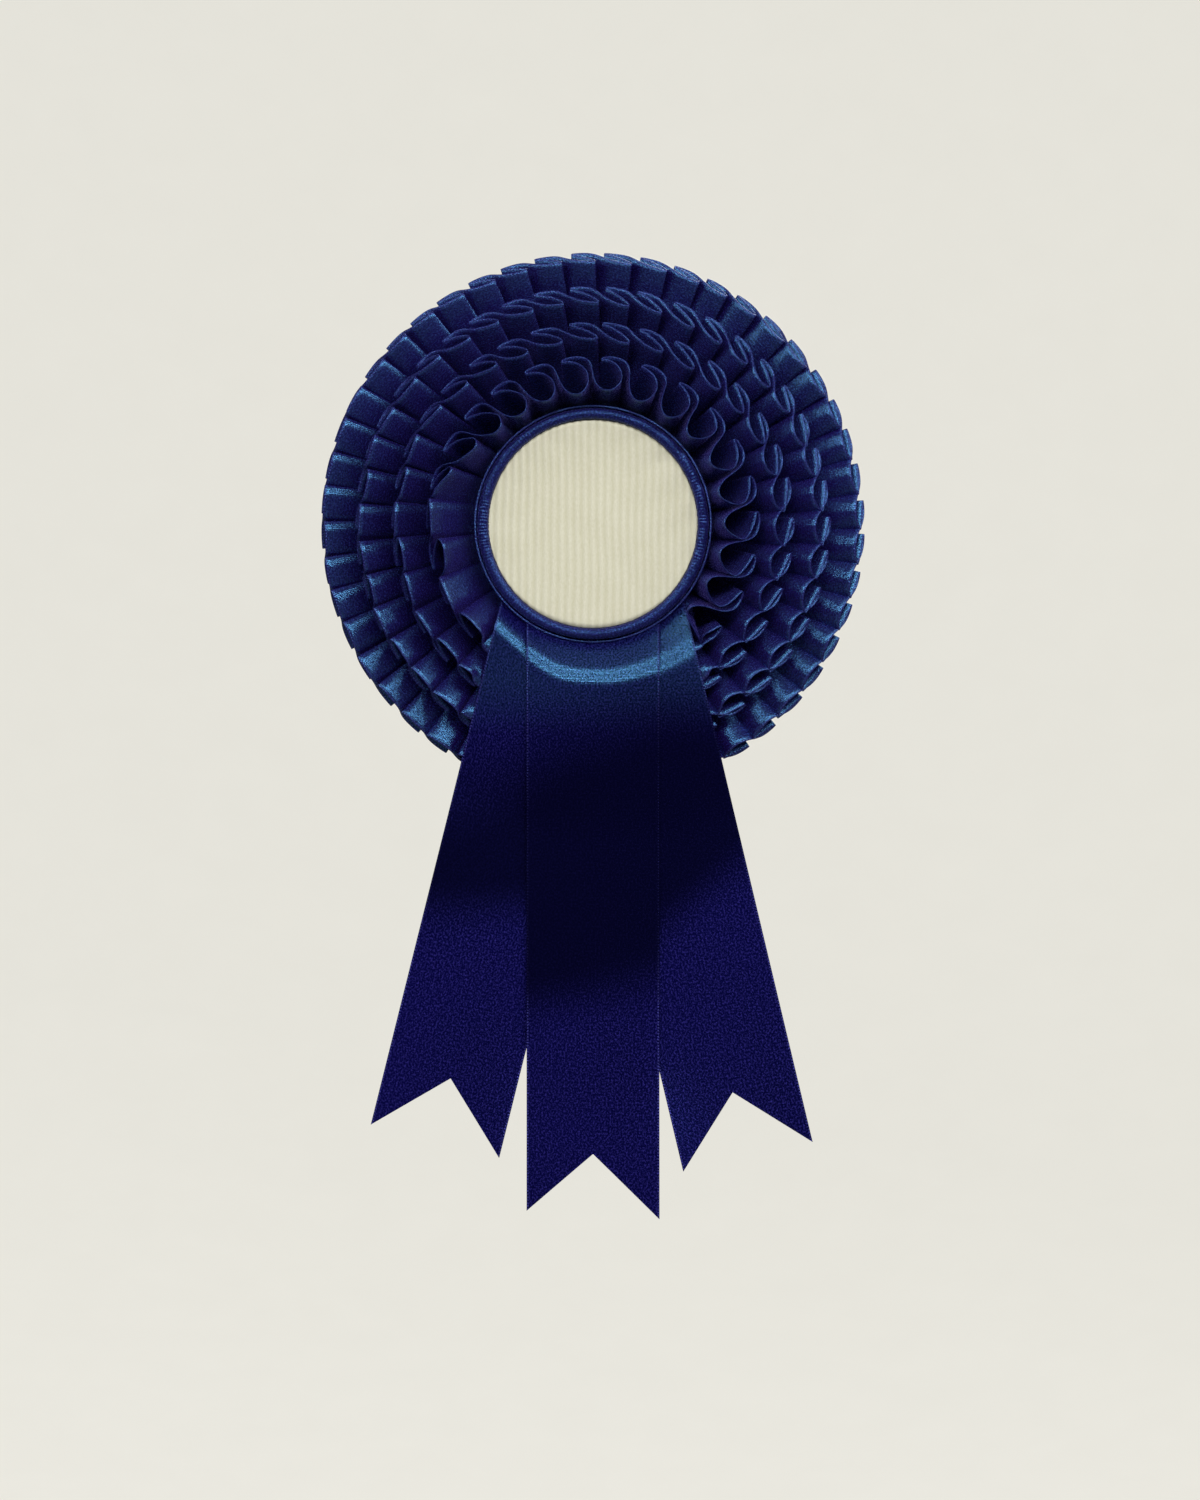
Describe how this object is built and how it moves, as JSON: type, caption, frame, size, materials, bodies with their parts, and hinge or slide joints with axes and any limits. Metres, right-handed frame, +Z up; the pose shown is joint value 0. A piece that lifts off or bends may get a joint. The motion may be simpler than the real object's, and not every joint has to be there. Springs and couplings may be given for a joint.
{
  "type": "award ribbon rosette",
  "caption": "Pleated satin award rosette with a plain centre, swallow-tail ribbons that hang below and lift, and a bar pin with a safety catch on its back.",
  "frame": {"origin": "centre of the pin bar's rear face, on the axis of the rosette, where the garment lies", "axes": "+Z up, along the hanging tails; the rosette faces -Y, so +Y points out of its back into the garment; +X to the right as one looks at the front"},
  "size_m": [0.156, 0.0324, 0.2769],
  "materials": {
    "pleated_satin": "navy double-face satin ribbon, glossy along the folds",
    "tail_satin": "navy single-face satin ribbon with a fine rib and woven selvedges",
    "rim_satin": "navy satin rolled over the edge of the centre",
    "piping_satin": "thin satin-covered piping",
    "thread": "polyester sewing thread",
    "cream_card": "cream laid card with fine upright ribs",
    "base_board": "grey-brown millboard",
    "back_paper": "matt dark paper-covered board",
    "foam": "closed-cell foam",
    "staple_wire": "galvanised staple wire",
    "rivet_metal": "nickel-plated",
    "pin_plating": "bright nickel plate",
    "needle_steel": "polished spring steel wire"
  },
  "bodies": {
    "rosette": {"back_card": "back_paper", "base_card": "base_board", "foam_spacer": "foam", "tier_staples": "staple_wire", "tail_staples": "staple_wire", "card_rivets": "rivet_metal", "pin_bar": "pin_plating", "pin_hinge_rivet": "rivet_metal", "centre_backing": "base_board", "centre_card": "cream_card", "centre_rim": "rim_satin", "rim_piping": "piping_satin", "pleat_tier_1": "pleated_satin", "pleat_tier_2": "pleated_satin", "pleat_tier_3": "pleated_satin", "pleat_tier_4": "pleated_satin", "gather_thread_1": "thread", "gather_thread_2": "thread", "gather_thread_3": "thread", "gather_thread_4": "thread", "tail_head_left": "tail_satin", "tail_head_right": "tail_satin", "tail_head_centre": "tail_satin"},
    "needle": {"pin_needle": "needle_steel"},
    "catch": {"pin_catch": "pin_plating"},
    "left_tail": {"tail_left": "tail_satin"},
    "right_tail": {"tail_right": "tail_satin"},
    "centre_tail": {"tail_centre": "tail_satin"}
  },
  "joints": [
    {"name": "needle_swing", "type": "hinge", "parent": "rosette", "child": "needle", "pos_m": [-0.0146, 0.003, 0], "axis": [0, 0, 1], "range_deg": [0, 60]},
    {"name": "catch_turn", "type": "hinge", "parent": "rosette", "child": "catch", "pos_m": [0.0157, 0.003, 0], "axis": [1, 0, 0], "range_deg": [0, 110]},
    {"name": "left_tail_lift", "type": "hinge", "parent": "rosette", "child": "left_tail", "pos_m": [0, -0.0148, -0.0343], "axis": [-1, 0, 0], "range_deg": [0, 12]},
    {"name": "right_tail_lift", "type": "hinge", "parent": "left_tail", "child": "right_tail", "pos_m": [0, -0.0148, -0.0343], "axis": [-1, 0, 0], "range_deg": [0, 10]},
    {"name": "centre_tail_lift", "type": "hinge", "parent": "right_tail", "child": "centre_tail", "pos_m": [0, -0.0148, -0.0343], "axis": [-1, 0, 0], "range_deg": [0, 25]}
  ]
}
